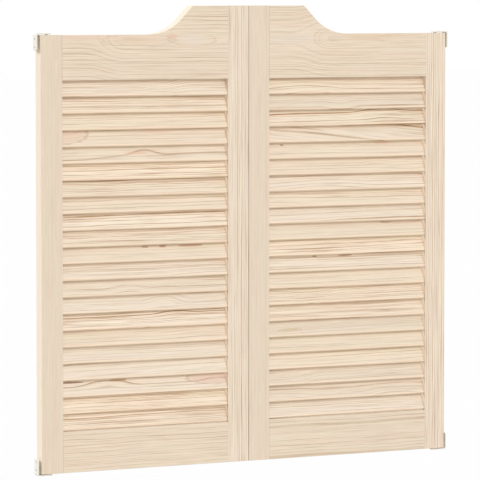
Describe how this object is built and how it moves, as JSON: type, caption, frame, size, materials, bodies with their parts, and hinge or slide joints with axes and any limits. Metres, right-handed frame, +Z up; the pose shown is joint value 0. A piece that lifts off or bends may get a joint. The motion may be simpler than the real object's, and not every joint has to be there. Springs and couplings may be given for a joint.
{
  "type": "cafe door pair",
  "caption": "Pair of bare pine louvred half-doors on concealed spring pivots; both leaves swing both ways in a doorway and return to closed.",
  "frame": {"origin": "midway between the two leaves, at mid thickness, level with the underside of the lower brackets", "axes": "+X along the doorway to the right, +Y through the doorway to the back, +Z up"},
  "size_m": [1.082, 0.0286, 1.071],
  "materials": {
    "pine_frame": "bare, sanded",
    "pine_slat": "bare, sanded",
    "painted_steel": "powder-coated, satin",
    "brass": "satin",
    "steel": "turned",
    "spring_steel": "oiled",
    "nylon": "matte"
  },
  "bodies": {
    "jamb_hardware": {"bottom_brackets": "painted_steel", "pivot_pins": "steel", "thrust_washers": "nylon", "top_brackets": "painted_steel", "torsion_springs": "spring_steel"},
    "left_leaf": {"left_bottom_rail": "pine_frame", "left_hinge_stile": "pine_frame", "left_meeting_stile": "pine_frame", "left_pivot_sleeves": "brass", "left_slat_01": "pine_slat", "left_slat_02": "pine_slat", "left_slat_03": "pine_slat", "left_slat_04": "pine_slat", "left_slat_05": "pine_slat", "left_slat_06": "pine_slat", "left_slat_07": "pine_slat", "left_slat_08": "pine_slat", "left_slat_09": "pine_slat", "left_slat_10": "pine_slat", "left_slat_11": "pine_slat", "left_slat_12": "pine_slat", "left_slat_13": "pine_slat", "left_slat_14": "pine_slat", "left_slat_15": "pine_slat", "left_slat_16": "pine_slat", "left_slat_17": "pine_slat", "left_slat_18": "pine_slat", "left_slat_19": "pine_slat", "left_slat_20": "pine_slat", "left_slat_21": "pine_slat", "left_top_rail": "pine_frame"},
    "right_leaf": {"right_bottom_rail": "pine_frame", "right_hinge_stile": "pine_frame", "right_meeting_stile": "pine_frame", "right_pivot_sleeves": "brass", "right_slat_01": "pine_slat", "right_slat_02": "pine_slat", "right_slat_03": "pine_slat", "right_slat_04": "pine_slat", "right_slat_05": "pine_slat", "right_slat_06": "pine_slat", "right_slat_07": "pine_slat", "right_slat_08": "pine_slat", "right_slat_09": "pine_slat", "right_slat_10": "pine_slat", "right_slat_11": "pine_slat", "right_slat_12": "pine_slat", "right_slat_13": "pine_slat", "right_slat_14": "pine_slat", "right_slat_15": "pine_slat", "right_slat_16": "pine_slat", "right_slat_17": "pine_slat", "right_slat_18": "pine_slat", "right_slat_19": "pine_slat", "right_slat_20": "pine_slat", "right_slat_21": "pine_slat", "right_top_rail": "pine_frame"}
  },
  "joints": [
    {"name": "left_swing", "type": "hinge", "parent": "jamb_hardware", "child": "left_leaf", "pos_m": [-0.512, 0, 0.004], "axis": [0, 0, 1], "range_deg": [-90, 90], "stiffness_Nm_per_rad": 4, "deforming": ["torsion_springs"]},
    {"name": "right_swing", "type": "hinge", "parent": "jamb_hardware", "child": "right_leaf", "pos_m": [0.512, 0, 0.004], "axis": [0, 0, -1], "range_deg": [-90, 90], "stiffness_Nm_per_rad": 4, "deforming": ["torsion_springs"]}
  ]
}
